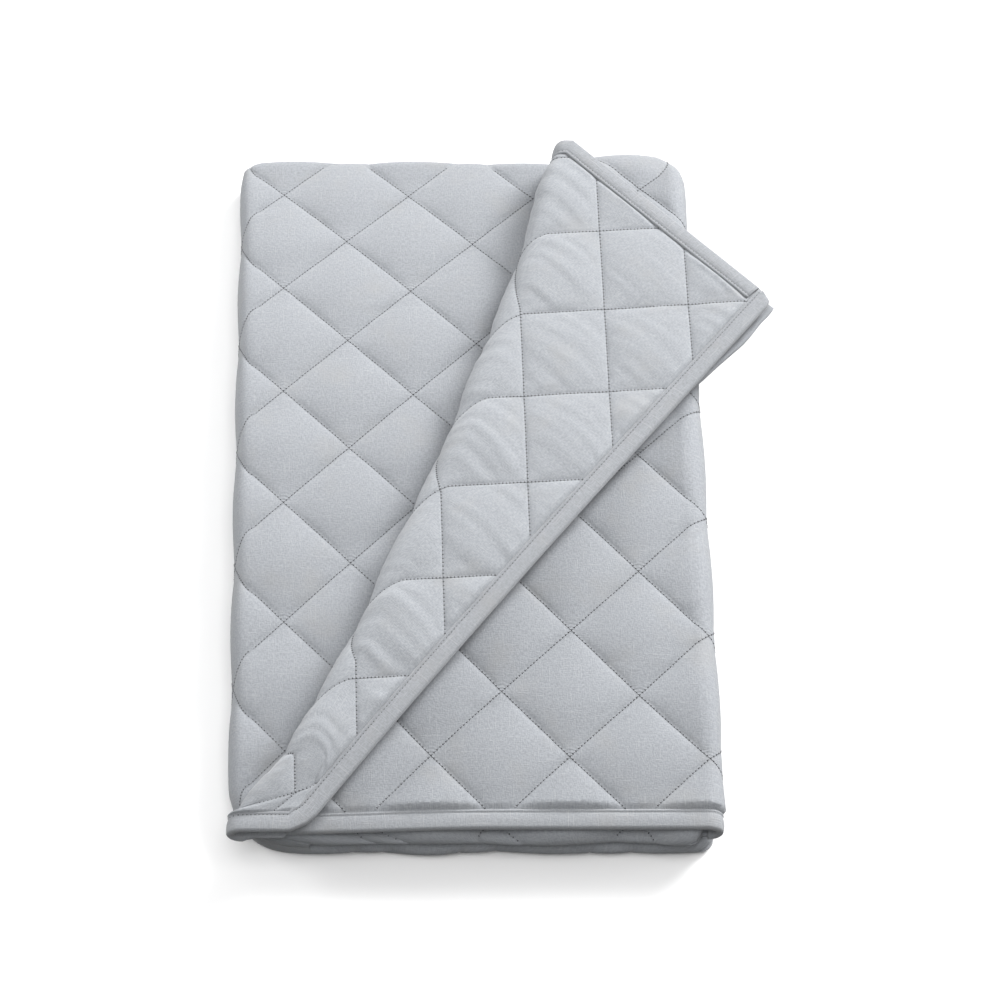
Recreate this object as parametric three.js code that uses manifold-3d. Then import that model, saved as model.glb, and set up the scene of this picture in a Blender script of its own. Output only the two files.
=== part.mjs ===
// A folded quilted bedspread with one corner of its top layer turned back, in millimetres, +Z up.
// The front of the folded stack faces -Y, its right side faces +X, and it rests on z = 0.
import * as THREE from 'three';
import { mergeVertices } from 'three/addons/utils/BufferGeometryUtils.js';
import Module from 'manifold-3d';

const wasm = await Module();
wasm.setup();
const { Manifold, Mesh: ManifoldMesh } = wasm;

// half diagonal of a quilted diamond, so the seams are 100 mm apart
const U = 70.7;
const CELL = U / 3;
// the folded stack
const X_LEFT = -253;
const X_RIGHT = 255;
const Y_FRONT = -431;
const Y_BACK = 424.5;
// half width of the left fold
const FOLD = 24;
// how far the long sides lean to the left for each millimetre towards the back
const SKEW = 0.024;
// heights at the front and back ends of the stack, and how much higher the middle is
const Z_LOW_TOP = 20.5;
const Z_MID_BOTTOM = 21.8;
const Z_MID_TOP = 45;
const RISE = 0.66;
const Y_CROWN = -7;
// quilted cloth: thickness at a seam, and how much a diamond adds to it
const SEAM_THICK = 4;
const PUFF = 8;
const EDGE_THICK = 3;
// a crossing of the seams on the middle layer and on the top layer, with the lean of the columns
const NET_MIDDLE = [-197.5, -479.5, 0.0114];
const NET_TOP = [-99.4, -418, -0.0425];
// how far the rows tilt, and with them the right half of the back
const ROW_TILT = 0.033;
// rounding of the corners, seen from above
const FRONT_LEFT_ROUND = 60;
const BACK_LEFT_ROUND = 10;
const BACK_RIGHT_ROUND = 40;
const FRONT_RIGHT_ROUND = 18;
// binding strip over the edges
const BIND_WIDE = 17;
const BIND_WALL = 2.4;
const CLEAR = 0.7;
// slits between the two cloths of each lower layer, open on the right
const SLIT = 1.4;
// top layer above the layer under it
const TOP_MID = 6.5;
const TOP_FRONT = -421;
// the roll at the crease: half its height, half its width along most of it and at its back end
const ROLL = 12.5;
// share of its height that is left at the front end
const ROLL_FLATTENED = 0.75;
const ROLL_WIDE = 28;
const ROLL_NARROW = 9;
const ROLL_STEPS = 6;
const WRAP_STEPS = 7;
// rows of the top layer that hang down at the back: y, drop, distance from the edge, turn in degrees
const DRAPE = [
  [408, 0.5, 60, 8],
  [419, 3, 34, 24],
  [426.5, 9.5, 26, 52],
  [429, 17, 18.2, 78],
  [430, 35, 0, 87],
];
// the turned-back corner, seen from above
const CREASE = [[-240, -433.5], [-187, -337], [-109, -179], [-12, 65], [56, 276], [103, 436]];
const CORNER = [329.5, 184];
const LONG_END = [-164, -433.5];
const SHORT_END = [113, 413];
const CORNER_LIFT = 4;
const BACK_LIFT = 16;
// its net: a crossing, a quarter of a cell, and how far columns and rows turn
const FLAP_NET = [149, 172.5];
const FLAP_CELL = [22.93, 27.05];
const FLAP_LEAN = -0.032;
const FLAP_TILT = 0.06;
// the cloth under the turned-back corner
const PLY_MID = 19;
const PLY_THICK = 6;
const PLY_OUT = 9;
const PLY_ROWS = [0, 262];

const lerp = THREE.MathUtils.lerp;
const smooth = THREE.MathUtils.smoothstep;

// 0 on a seam of a square net with lines at whole numbers, 1 in the middle of a square
const puffOf = (p, q) => Math.abs(Math.sin(Math.PI * p) * Math.sin(Math.PI * q)) ** 0.45;
// the same at a point of a net of diamonds
function diamond(x, y, [netX, netY, netLean]) {
  const a = (x + netLean * y - netX) / U;
  const b = (y - netY) / U;
  return puffOf((a + b) / 2, (a - b) / 2);
}

// how much the stack is raised at y, 1 at both ends
const rise = (y) => 1 + RISE * Math.max(0, 1 - ((y - Y_CROWN) / 424) ** 2);
const topOfMiddle = (y) => Z_MID_TOP * rise(y);
const lean = (x, y) => x - SKEW * y;

// how far a side draws in at a distance from the end where its corner is rounded
function roundIn(distance, radius) {
  const t = THREE.MathUtils.clamp(1 - distance / radius, 0, 1);
  return radius * (1 - Math.sqrt(1 - t * t));
}

// one closed mesh from a list of corners, three to a triangle
function closedMesh(corners) {
  const raw = new THREE.BufferGeometry();
  raw.setAttribute('position', new THREE.Float32BufferAttribute(corners.flat(), 3));
  return mergeVertices(raw, 1e-3);
}

function toManifold(geometry) {
  const mesh = new ManifoldMesh({
    numProp: 3,
    vertProperties: new Float32Array(geometry.attributes.position.array),
    triVerts: new Uint32Array(geometry.index.array),
  });
  mesh.merge();
  return new Manifold(mesh);
}

function fromManifold(solid) {
  const mesh = solid.getMesh();
  const out = new THREE.BufferGeometry();
  out.setAttribute('position', new THREE.Float32BufferAttribute(mesh.vertProperties, 3));
  out.setIndex(new THREE.Uint32BufferAttribute(mesh.triVerts, 1));
  return out;
}

// a thick sheet from rows of nodes, each { s, top, bot, puff }; neighbouring rows may differ in count
function sheet(rows) {
  const corners = [];
  const tri = (face, a, b, c) => {
    if (face === 'top') {
      corners.push(a.top, b.top, c.top);
    } else {
      corners.push(a.bot, c.bot, b.bot);
    }
  };
  for (let j = 0; j + 1 < rows.length; j += 1) {
    const near = rows[j];
    const far = rows[j + 1];
    let m = 0;
    let n = 0;
    while (m + 1 < near.length || n + 1 < far.length) {
      const canNear = m + 1 < near.length;
      const canFar = n + 1 < far.length;
      let stepNear = canNear;
      if (canNear && canFar) {
        const gap = near[m + 1].s - far[n + 1].s;
        stepNear = gap < 0;
        const close = 0.3 * Math.min(near[m + 1].s - near[m].s, far[n + 1].s - far[n].s);
        if (Math.abs(gap) < close) {
          stepNear = near[m + 1].puff + far[n].puff < near[m].puff + far[n + 1].puff;
        }
      }
      for (const face of ['top', 'bot']) {
        if (stepNear) {
          tri(face, near[m], near[m + 1], far[n]);
        } else {
          tri(face, near[m], far[n + 1], far[n]);
        }
      }
      if (stepNear) {
        m += 1;
      } else {
        n += 1;
      }
    }
    const wall = (a, b) => corners.push(a.top, b.bot, b.top, a.top, a.bot, b.bot);
    wall(far[0], near[0]);
    wall(near.at(-1), far.at(-1));
  }
  const endWall = (row, front) => {
    for (let i = 0; i + 1 < row.length; i += 1) {
      const a = front ? row[i + 1] : row[i];
      const b = front ? row[i] : row[i + 1];
      corners.push(a.top, b.bot, a.bot, a.top, b.top, b.bot);
    }
  };
  endWall(rows[0], true);
  endWall(rows.at(-1), false);
  return closedMesh(corners);
}

// a closed solid from closed loops with equal counts, capped at both ends
function loft(loops, flat) {
  const corners = [];
  const count = loops[0].length;
  for (let j = 0; j + 1 < loops.length; j += 1) {
    for (let i = 0; i < count; i += 1) {
      const k = (i + 1) % count;
      corners.push(loops[j][i], loops[j][k], loops[j + 1][k]);
      corners.push(loops[j][i], loops[j + 1][k], loops[j + 1][i]);
    }
  }
  const outline = flat.map(([x, y]) => new THREE.Vector2(x, y));
  const faces = THREE.ShapeUtils.triangulateShape(outline, []);
  const [start, end] = THREE.ShapeUtils.isClockWise(outline) ? [0, -1] : [-1, 0];
  for (const [a, b, c] of faces) {
    corners.push(loops.at(start)[a], loops.at(start)[b], loops.at(start)[c]);
    corners.push(loops.at(end)[a], loops.at(end)[c], loops.at(end)[b]);
  }
  return closedMesh(corners);
}

// the two lower layers, joined by the fold on the left, as one loop at y; squeeze rounds off the ends
function stackLoop(y, squeeze) {
  const h = rise(y);
  const pts = [];
  const tilt = ROW_TILT * (1 - Math.min(1, (y / Y_BACK) ** 4));
  const tiltRight = y > 0 ? ROW_TILT : tilt;
  const leftIn = roundIn(Y_BACK - y, BACK_LEFT_ROUND) + roundIn(y - Y_FRONT, FRONT_LEFT_ROUND);
  const frontIn = roundIn(y - Y_FRONT, FRONT_RIGHT_ROUND);
  const put = (x, z, midX, midZ) => {
    const wide = midX + (x - midX) * squeeze;
    const px = wide < 0 ? wide * (1 + leftIn / X_LEFT) : wide;
    pts.push([lean(px, y), y - (px < 0 ? tilt : tiltRight) * px, midZ + (z - midZ) * squeeze]);
  };
  const dip = (x) => 0.8 * PUFF * (1 - diamond(x, y, NET_MIDDLE));
  const low = (Z_LOW_TOP / 2) * h;
  const mid = ((Z_MID_BOTTOM + Z_MID_TOP) / 2) * h;
  const coarse = [X_RIGHT - 60, 80, -70, X_LEFT + 60];
  for (const x of coarse) {
    put(x, 0, x, low);
  }
  const radius = (Z_MID_TOP / 2) * h;
  for (let i = 0; i <= 8; i += 1) {
    const t = -Math.PI / 2 - (Math.PI * i) / 8;
    const bulge = Math.min(FOLD, radius) * Math.abs(Math.cos(t)) ** 0.62;
    const x = X_LEFT + FOLD - bulge;
    const inset = 0.5 * dip(x) * (i / 8) ** 2;
    const z = radius + (radius - inset) * Math.sin(t);
    put(x + inset * Math.abs(Math.cos(t)), z, x + bulge / 2, radius + ((mid - low) / 2) * Math.sin(t));
  }
  for (let k = 0; k < 14; k += 1) {
    const x = NET_MIDDLE[0] + k * CELL - NET_MIDDLE[2] * y;
    put(x, Z_MID_TOP * h - dip(x), x, mid);
  }
  for (const x of [X_RIGHT - 70, X_RIGHT - 40]) {
    put(x, Z_MID_TOP * h, x, mid);
  }
  const end = (x, center, half) => {
    for (let i = 1; i <= 4; i += 1) {
      const t = Math.PI / 2 - (Math.PI * i) / 5;
      put(x - frontIn + 12 * Math.cos(t), center + half * Math.sin(t), x - frontIn, center);
    }
  };
  end(X_RIGHT - 36, mid, ((Z_MID_TOP - Z_MID_BOTTOM) / 2) * h);
  for (const x of coarse) {
    put(x, Z_MID_BOTTOM * h, x, mid);
  }
  for (const x of coarse.slice().reverse()) {
    put(x, Z_LOW_TOP * h, x, low);
  }
  end(X_RIGHT - 24, low, low);
  return pts;
}

function lowerLayers() {
  const loops = [];
  const round = 12;
  const ends = [0, 0.06, 0.25, 0.6, 1].map((t) => t * round);
  const ys = ends.map((d) => [Y_FRONT + d, d]);
  const first = Math.ceil((Y_FRONT + round + 4 - NET_MIDDLE[1]) / CELL);
  for (let k = first; NET_MIDDLE[1] + k * CELL < Y_BACK - round - 4; k += 1) {
    ys.push([NET_MIDDLE[1] + k * CELL, round]);
  }
  ys.push(...ends.reverse().map((d) => [Y_BACK - d, d]));
  for (const [y, d] of ys) {
    const squeeze = Math.max(0.12, Math.sqrt(1 - (1 - d / round) ** 2));
    loops.push(stackLoop(y, squeeze));
  }
  const flat = stackLoop(Y_FRONT + 100, 1).map(([x, , z], i) => [x, z + 0.3 * Math.sin(i * 2.4)]);
  return loft(loops, flat);
}

// the turned-back corner as a curve from the front to the back, and its x at a given y
const creaseCurve = new THREE.CatmullRomCurve3(CREASE.map(([x, y]) => new THREE.Vector3(x, y, 0)));
const creaseTable = creaseCurve.getPoints(120);
function creaseX(y) {
  const i = creaseTable.findIndex((p) => p.y > y);
  if (i < 0) {
    return creaseTable.at(-1).x;
  }
  const a = creaseTable[Math.max(0, i - 1)];
  const b = creaseTable[Math.max(1, i)];
  return a.x + ((y - a.y) * (b.x - a.x)) / (b.y - a.y);
}

// how thick the cloth is: thin under the binding, puffed between the seams
const thickness = (puff, fromEdge) =>
  lerp(EDGE_THICK, SEAM_THICK + PUFF * puff, smooth(fromEdge, BIND_WIDE + 1, BIND_WIDE + 9));

// a node of a sheet at p with normal n: the share of the puff that lies on the side the normal points to
function clothNode(s, p, n, puff, fromEdge, share) {
  const more = thickness(puff, fromEdge) - EDGE_THICK;
  const up = EDGE_THICK / 2 + more * share;
  const down = EDGE_THICK / 2 + more * (1 - share);
  return {
    s,
    puff,
    top: p.map((v, i) => v + n[i] * up),
    bot: p.map((v, i) => v - n[i] * down),
  };
}

// the right-hand fold that carries the top layer down and under the middle layer
function wrap(y, drop) {
  const full = (topOfMiddle(y) + TOP_MID - (Z_MID_BOTTOM + 6.5) * rise(y)) / 2;
  const bend = X_RIGHT - full - 4.5 - 0.6 * roundIn(DRAPE.at(-1)[0] - y, BACK_RIGHT_ROUND);
  return { radius: full * Math.max(0.2, 1 - drop / 26), bend };
}

// points round the right-hand fold at y, each with its normal and its length along the cloth
function wrapPoints(y, drop) {
  const { radius, bend } = wrap(y, drop);
  const z = topOfMiddle(y) + TOP_MID - drop;
  return Array.from({ length: WRAP_STEPS + 1 }, (_, i) => {
    const t = (Math.PI * i) / WRAP_STEPS;
    const at = [lean(bend + radius * Math.sin(t), y), y, z - radius * (1 - Math.cos(t))];
    return { at, normal: [Math.sin(t), 0, Math.cos(t)], s: bend + radius * t };
  });
}

// one row of the flat part of the top layer, from under the crease round the right-hand fold
function topRow(y, fromFront, fromBack, drop, turned) {
  const nodes = [];
  const swing = THREE.MathUtils.degToRad(turned);
  const z = topOfMiddle(y) + TOP_MID - drop;
  const start = rollCenter(y) + 9 + SKEW * y;
  const { bend } = wrap(y, drop);
  const edge = Math.min(fromFront, fromBack);
  const shift = (x) => ROW_TILT * x * smooth(fromFront, 0, 160);
  const puffAt = (x) => diamond(x, y, NET_TOP);
  const column = (k) => NET_TOP[0] + k * CELL - NET_TOP[2] * y;
  const put = (s, at, [nx, , nz], puff) => {
    const normal = [nx * Math.cos(swing), Math.sin(swing), nz * Math.cos(swing)];
    nodes.push(clothNode(s, [at[0], at[1] - shift(s), at[2]], normal, puff, edge, 0.75));
  };
  put(start, [lean(start, y), y, z], [0, 0, 1], puffAt(start));
  const first = Math.ceil((start + 9 - column(0)) / CELL);
  for (let k = first; column(k) < bend - 9; k += 1) {
    const x = column(k);
    put(x, [lean(x, y), y, z], [0, 0, 1], puffAt(x));
  }
  const fold = wrapPoints(y, drop);
  for (const { at, normal, s } of fold) {
    put(s, at, normal, 0.35 + 0.4 * puffAt(s));
  }
  const end = fold.at(-1).at;
  put(bend + 90, [end[0] - 30 * Math.max(0.06, 1 - drop / 15), end[1], end[2]], [0, 0, -1], 0.1);
  return nodes;
}

function topLayer() {
  const rows = [0, BIND_WIDE + 1].map((d) => topRow(TOP_FRONT + d, d, 400, 0, 0));
  const first = Math.ceil((TOP_FRONT + BIND_WIDE + 8 - NET_TOP[1]) / CELL);
  for (let k = first; NET_TOP[1] + k * CELL < DRAPE[0][0] - 10; k += 1) {
    const y = NET_TOP[1] + k * CELL;
    rows.push(topRow(y, y - TOP_FRONT, 400, 0, 0));
  }
  for (const [y, drop, fromBack, turned] of DRAPE) {
    rows.push(topRow(y, 400, fromBack, drop, turned));
  }
  return sheet(rows);
}

// the turned-back corner: distance from its two bound edges
const heading = (from, to) => new THREE.Vector2(to[0] - from[0], to[1] - from[1]).normalize();
const LONG_DIR = heading(CORNER, LONG_END);
const SHORT_DIR = heading(CORNER, SHORT_END);
const fromLong = (x, y) => (y - CORNER[1]) * LONG_DIR.x * -1 + (x - CORNER[0]) * LONG_DIR.y;
const fromShort = (x, y) => (y - CORNER[1]) * SHORT_DIR.x - (x - CORNER[0]) * SHORT_DIR.y;
const FLAP_BACK = SHORT_END[1] - 4;
const FLAP_FRONT = LONG_END[1];

// middle height of the turned-back cloth
function flapMid(x, y) {
  const far = Math.hypot(x - CORNER[0], y - CORNER[1]);
  const back = BACK_LIFT * Math.max(0, (y - 60) / 380) ** 2;
  const roll = 2 * ROLL * lerp(ROLL_FLATTENED, 1, smooth(y - FLAP_FRONT, 0, 130));
  return topOfMiddle(y) + TOP_MID + roll + back + CORNER_LIFT * Math.exp(-((far / 150) ** 2));
}

// the edge of the turned-back corner on the right of a row
function flapRight(y) {
  const dir = y < CORNER[1] ? LONG_DIR : SHORT_DIR;
  return CORNER[0] + ((y - CORNER[1]) * dir.x) / dir.y;
}

// the roll at the crease: half its width, its middle, and points round it up to the turned-back cloth
const rollWide = (y) => lerp(ROLL_NARROW, ROLL_WIDE, smooth(FLAP_BACK - y, 0, 220))
  * lerp(0.6, 1, smooth(y - FLAP_FRONT, 0, 130));
const rollCenter = (y) => creaseX(y) + rollWide(y) + 4;
function rollPoints(y) {
  const step = (TOP_FRONT - FLAP_FRONT) * (1 - smooth(y - FLAP_FRONT, 0, 100));
  const low = topOfMiddle(y + step) + TOP_MID;
  const half = (flapMid(rollCenter(y), y) - low) / 2;
  const wide = rollWide(y);
  const around = (Math.PI * Math.hypot(wide, ROLL)) / Math.SQRT2;
  return Array.from({ length: ROLL_STEPS + 1 }, (_, i) => {
    const a = -Math.PI / 2 - (Math.PI * i) / ROLL_STEPS;
    const back = (step * (1 - Math.sin(a))) / 2;
    const at = [rollCenter(y) + wide * Math.cos(a), y + back, low + half * (1 + Math.sin(a))];
    const normal = new THREE.Vector3(half * Math.cos(a), 0, wide * Math.sin(a)).normalize().toArray();
    const flat = rollCenter(y) - around * (1 - i / ROLL_STEPS);
    return { at, normal, s: -2000 + i * 8, flat };
  });
}

// the puff of the turned-back corner's net at a point of its flat cloth
function flapPuff(x, y) {
  const p = (x - FLAP_NET[0] - FLAP_LEAN * (y - FLAP_NET[1])) / FLAP_CELL[0] / 4;
  const q = (y - FLAP_NET[1] - FLAP_TILT * (x - FLAP_NET[0])) / FLAP_CELL[1] / 4;
  return puffOf(p, q);
}

// one row, which tilts with the net away from both ends; y is its place in the net's own column
function flapRow(y) {
  const tilt = FLAP_TILT * smooth(y - FLAP_FRONT, 0, 110) * smooth(FLAP_BACK - y, 0, 60);
  const rowAt = (x) => y + tilt * (x - FLAP_NET[0]);
  const meet = (line) => {
    let x = line(y);
    for (let i = 0; i < 30; i += 1) {
      x = line(rowAt(x));
    }
    return x;
  };
  const right = meet(flapRight);
  const center = meet(rollCenter);
  const fromEnds = Math.min(y - FLAP_FRONT, FLAP_BACK - y);
  const roll = rollPoints(rowAt(center));
  const low = roll[0].at;
  const tail = [low[0] + 26, low[1], low[2]];
  const nodes = [clothNode(-2100, tail, [0, 0, -1], 0.2, fromEnds, 0.5)];
  roll.forEach(({ at, normal, s, flat }, i) => {
    const puff = lerp(0.2, flapPuff(flat, at[1]), i / ROLL_STEPS);
    nodes.push(clothNode(s, at, normal, puff, fromEnds, lerp(0.5, 0.65, i / ROLL_STEPS)));
  });
  const put = (x, s) => {
    const at = [x, rowAt(x), flapMid(x, rowAt(x))];
    const edge = Math.min(fromLong(x, at[1]), fromShort(x, at[1]), fromEnds);
    nodes.push(clothNode(s, at, [0, 0, 1], flapPuff(x, at[1]), edge, 0.65));
  };
  const begin = center + 4;
  const column = (k) => FLAP_NET[0] + k * FLAP_CELL[0] + FLAP_LEAN * (y - FLAP_NET[1]);
  const first = Math.ceil((begin + 4 - column(0)) / FLAP_CELL[0]);
  for (let k = first; column(k) < right - 44; k += 1) {
    put(column(k), column(k));
  }
  for (const d of [34, 23, 0]) {
    put(Math.max(right - d, begin + 3 - d * 0.1), 1000 - d);
  }
  return nodes;
}

function flap() {
  const ys = [0, BIND_WIDE + 1, BIND_WIDE + 9].map((d) => FLAP_FRONT + d);
  ys.push(...[BIND_WIDE + 9, BIND_WIDE + 1, 0].map((d) => FLAP_BACK - d));
  const first = Math.ceil((FLAP_FRONT + BIND_WIDE + 18 - FLAP_NET[1]) / FLAP_CELL[1]);
  for (let k = first; FLAP_NET[1] + k * FLAP_CELL[1] < FLAP_BACK - BIND_WIDE - 18; k += 1) {
    ys.push(FLAP_NET[1] + k * FLAP_CELL[1]);
  }
  ys.sort((a, b) => a - b);
  return sheet(ys.map(flapRow));
}

// the cloth under the turned-back corner, held in the roll and showing past the long edge near the corner
function underPly() {
  const rows = [];
  for (let i = 0; i <= 12; i += 1) {
    const y = lerp(PLY_ROWS[0], PLY_ROWS[1], i / 12);
    const out = PLY_OUT * smooth(y, PLY_ROWS[0], 150) * smooth(300 - y, 80, 130);
    const left = rollCenter(y) - rollWide(y);
    const right = flapRight(y) - 9 + 2 * out;
    const z = topOfMiddle(y) + PLY_MID;
    rows.push([0, 0.3, 0.65, 1].map((t) => {
      const x = lerp(left, right, t);
      const half = (PLY_THICK / 2) * (t === 1 ? 0.5 : 1);
      return { s: x, puff: 0, top: [x, y, z + half], bot: [x, y, z - half] };
    }));
  }
  return sheet(rows);
}

// a slit between the two cloths of a lower layer, from near the left fold out through its right end
function slit(z) {
  const rows = [];
  for (let i = 0; i <= 12; i += 1) {
    const y = lerp(Y_FRONT + 22, Y_BACK - 22, i / 12);
    const mid = z * rise(y);
    rows.push([X_LEFT + 55, 0, X_RIGHT + 10].map((x) => ({
      s: x,
      puff: 0,
      top: [lean(x, y), y, mid + SLIT / 2],
      bot: [lean(x, y), y, mid - SLIT / 2],
    })));
  }
  return sheet(rows);
}

// a strip folded over an edge: each frame has a point of the edge, a way out of the cloth and a normal
function binding(frames) {
  const inner = EDGE_THICK / 2 + CLEAR;
  const outer = inner + BIND_WALL;
  const profile = [
    [-BIND_WIDE, inner],
    [CLEAR, inner],
    [CLEAR, -inner],
    [-BIND_WIDE, -inner],
    [-BIND_WIDE, -outer * 0.86],
    [-BIND_WIDE / 2, -outer],
    [0, -outer * 0.9],
    [CLEAR + BIND_WALL, -outer * 0.4],
    [CLEAR + BIND_WALL, outer * 0.4],
    [0, outer * 0.9],
    [-BIND_WIDE / 2, outer],
    [-BIND_WIDE, outer * 0.86],
  ];
  const loops = frames.map(({ at, out, normal }) =>
    profile.map(([o, n]) => at.clone().addScaledVector(out, o).addScaledVector(normal, n).toArray()));
  return loft(loops, profile);
}

// a frame on an edge of the turned-back cloth, where "out" points away from the cloth as seen from above
function flapFrame(x, y, out, widen = 1) {
  const step = 14;
  const z = flapMid(x, y);
  const slope = (flapMid(x - out.x * step, y - out.y * step) - z) / step;
  const way = new THREE.Vector3(out.x, out.y, -slope).normalize();
  const side = new THREE.Vector3(-out.y, out.x, 0);
  const normal = way.clone().cross(side).normalize();
  return { at: new THREE.Vector3(x, y, z), out: way.multiplyScalar(widen), normal };
}

// frames round a roll or fold that ends at y, with "out" along its length, away from the cloth at y + inside
function foldFrames(points, y, inside) {
  const within = points(y + inside);
  return points(y).map(({ at, normal }, i) => {
    const edge = new THREE.Vector3(...at);
    const out = edge.clone().sub(new THREE.Vector3(...within[i].at)).normalize();
    return { at: edge.addScaledVector(out, CLEAR / 2), out, normal: new THREE.Vector3(...normal) };
  });
}

// one strip from the corner along the long edge, round the roll, along the front and round the right fold
function longBinding() {
  const out = new THREE.Vector2(-LONG_DIR.y, LONG_DIR.x);
  const frames = [];
  const length = Math.hypot(LONG_END[0] - CORNER[0], LONG_END[1] - CORNER[1]);
  for (let i = 0; i <= 26; i += 1) {
    const d = lerp(-CLEAR - BIND_WALL, length - 26, i / 26);
    frames.push(flapFrame(CORNER[0] + LONG_DIR.x * d, CORNER[1] + LONG_DIR.y * d, out));
  }
  const front = new THREE.Vector2(0, -1);
  const miter = out.clone().add(front).normalize();
  frames.push(flapFrame(LONG_END[0], LONG_END[1], miter, 1 / miter.dot(front)));
  frames.push(...foldFrames(rollPoints, FLAP_FRONT, 15).reverse());
  const turn = foldFrames((y) => wrapPoints(y, 0), TOP_FRONT, 15);
  turn.forEach(({ normal }) => normal.negate());
  const from = frames.at(-1);
  const normal = new THREE.Vector3(0, 0, -1);
  for (let i = 1; i <= 12; i += 1) {
    const at = from.at.clone().lerp(turn[0].at, i / 13);
    frames.push({ at, out: from.out.clone().lerp(turn[0].out, Math.min(1, i / 3)), normal });
  }
  frames.push(...turn);
  return frames;
}

// the strip on the short edge of the corner, from beside the long strip round the back end of the roll
function shortBinding() {
  const out = new THREE.Vector2(SHORT_DIR.y, -SHORT_DIR.x);
  const frames = [];
  const length = (FLAP_BACK - CORNER[1]) / SHORT_DIR.y;
  for (let i = 0; i <= 12; i += 1) {
    const d = lerp(BIND_WIDE + 1.5, length - 12, i / 12);
    frames.push(flapFrame(CORNER[0] + SHORT_DIR.x * d, CORNER[1] + SHORT_DIR.y * d, out));
  }
  const back = new THREE.Vector2(0, 1);
  const miter = out.clone().add(back).normalize();
  frames.push(flapFrame(flapRight(FLAP_BACK), FLAP_BACK, miter, 1 / miter.dot(back)));
  frames.push(...foldFrames(rollPoints, FLAP_BACK, -15).reverse());
  return frames.reverse();
}

// the strip on the edge that hangs down at the back
function backBinding() {
  const [y, drop, , turned] = DRAPE.at(-1);
  const angle = THREE.MathUtils.degToRad(turned);
  const out = new THREE.Vector3(0, Math.cos(angle), -Math.sin(angle));
  const normal = new THREE.Vector3(0, Math.sin(angle), Math.cos(angle));
  const z = topOfMiddle(y) + TOP_MID - drop;
  const ends = [creaseX(y) + 27, lean(wrap(y, drop).bend, y) - 24];
  return [0, 0.25, 0.5, 0.75, 1].map((t) => {
    const x = lerp(ends[0], ends[1], t);
    return { at: new THREE.Vector3(x, y - ROW_TILT * (x + SKEW * y), z), out, normal };
  });
}

const cloth = new THREE.MeshStandardMaterial({ color: 0xc9ccd2, roughness: 0.9 });
cloth.name = 'quilted_cloth';
const tape = new THREE.MeshStandardMaterial({ color: 0xbfc2c9, roughness: 0.9 });
tape.name = 'binding_cloth';

const root = new THREE.Group();
root.name = 'bedspread';
function add(name, geometry, material) {
  const mesh = new THREE.Mesh(geometry, material);
  mesh.name = name;
  root.add(mesh);
}

const sheets = [lowerLayers(), topLayer(), flap(), underPly()].map(toManifold);
const slits = [Z_LOW_TOP / 2, (Z_MID_BOTTOM + Z_MID_TOP) / 2].map((z) => toManifold(slit(z)));
const lower = sheets[0].subtract(Manifold.union(slits));
add('quilt', fromManifold(Manifold.union([lower, ...sheets.slice(1)])), cloth);
add('binding_front', binding(longBinding()), tape);
add('binding_end', binding(shortBinding()), tape);
add('binding_back', binding(backBinding()), tape);

export default root;
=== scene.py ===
"""A folded quilted bedspread with one corner of its top layer turned back, in metres, +Z up."""
import math

import bmesh
import bpy
from mathutils import Matrix, Vector, noise


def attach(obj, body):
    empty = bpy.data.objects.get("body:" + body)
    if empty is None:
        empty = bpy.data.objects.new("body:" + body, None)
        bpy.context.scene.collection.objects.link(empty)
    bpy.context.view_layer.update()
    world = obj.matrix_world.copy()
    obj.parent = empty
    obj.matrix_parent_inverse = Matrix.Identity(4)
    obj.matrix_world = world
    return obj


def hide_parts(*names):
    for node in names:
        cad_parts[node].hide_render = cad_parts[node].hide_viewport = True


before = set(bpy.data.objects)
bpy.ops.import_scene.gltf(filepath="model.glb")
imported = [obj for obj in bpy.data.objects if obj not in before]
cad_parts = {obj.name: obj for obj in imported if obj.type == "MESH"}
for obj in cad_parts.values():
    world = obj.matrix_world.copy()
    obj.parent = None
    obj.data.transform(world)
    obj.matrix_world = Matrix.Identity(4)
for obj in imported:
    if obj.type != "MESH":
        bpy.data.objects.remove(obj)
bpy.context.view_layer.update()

# quilting: the distance between seams, and half the diagonal of a diamond that comes from it
SEAM_APART = 0.1
HALF_DIAMOND = 0.0707
# a crossing on each layer, and how far its columns lean
NET_MIDDLE = (-0.1975, -0.4795, 0.0114)
NET_TOP = (-0.0994, -0.418, -0.0425)
# how far the rows turn, and how far the stack leans to one side
ROW_TILT = 0.033
SKEW = 0.024
# the filled cloth: its thickness at a seam and at an edge, its puff, and how full the puff is
SEAM_THICK = 0.004
EDGE_THICK = 0.003
PUFF = 0.010
PUFF_POWER = 0.58
# share of the filling that shows above a cloth: top layer, turned-back corner, under its roll
TOP_SHARE = 0.7
CORNER_SHARE = 0.65
ROLLED_SHARE = 0.5
# wrinkles, as shares of the puff: beside the seams, and as streaks over the top layer
PUCKERED = 0.1
TOP_STREAK = 0.07
# faces along one side of a diamond, and on the turned-back corner, and how far they crowd towards the seams
STEPS = 20
CORNER_STEPS = 34
CROWD = 0.45

# the folded stack
X_LEFT = -0.253
X_RIGHT = 0.255
Y_FRONT = -0.431
Y_BACK = 0.4245
Z_LOW_TOP = 0.0205
Z_MID_BOTTOM = 0.0218
Z_MID_TOP = 0.045
# how much higher it is at its crown than at its ends, as a share of its height there
RISE = 0.66
Y_CROWN = -0.007
CROWN_REACH = 0.424
END_ROUND = 0.012
# puffs and waves of the layers at the front, and wrinkles on the lower layers
FRONT_PUFF = 0.0035
FRONT_LEVEL = 0.6
FRONT_WAVE = 0.0025
FRONT_WAVE_LONG = 0.09
LOWER_WRINKLE = 0.0007
LOWER_DIP = 0.8 * PUFF
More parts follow.
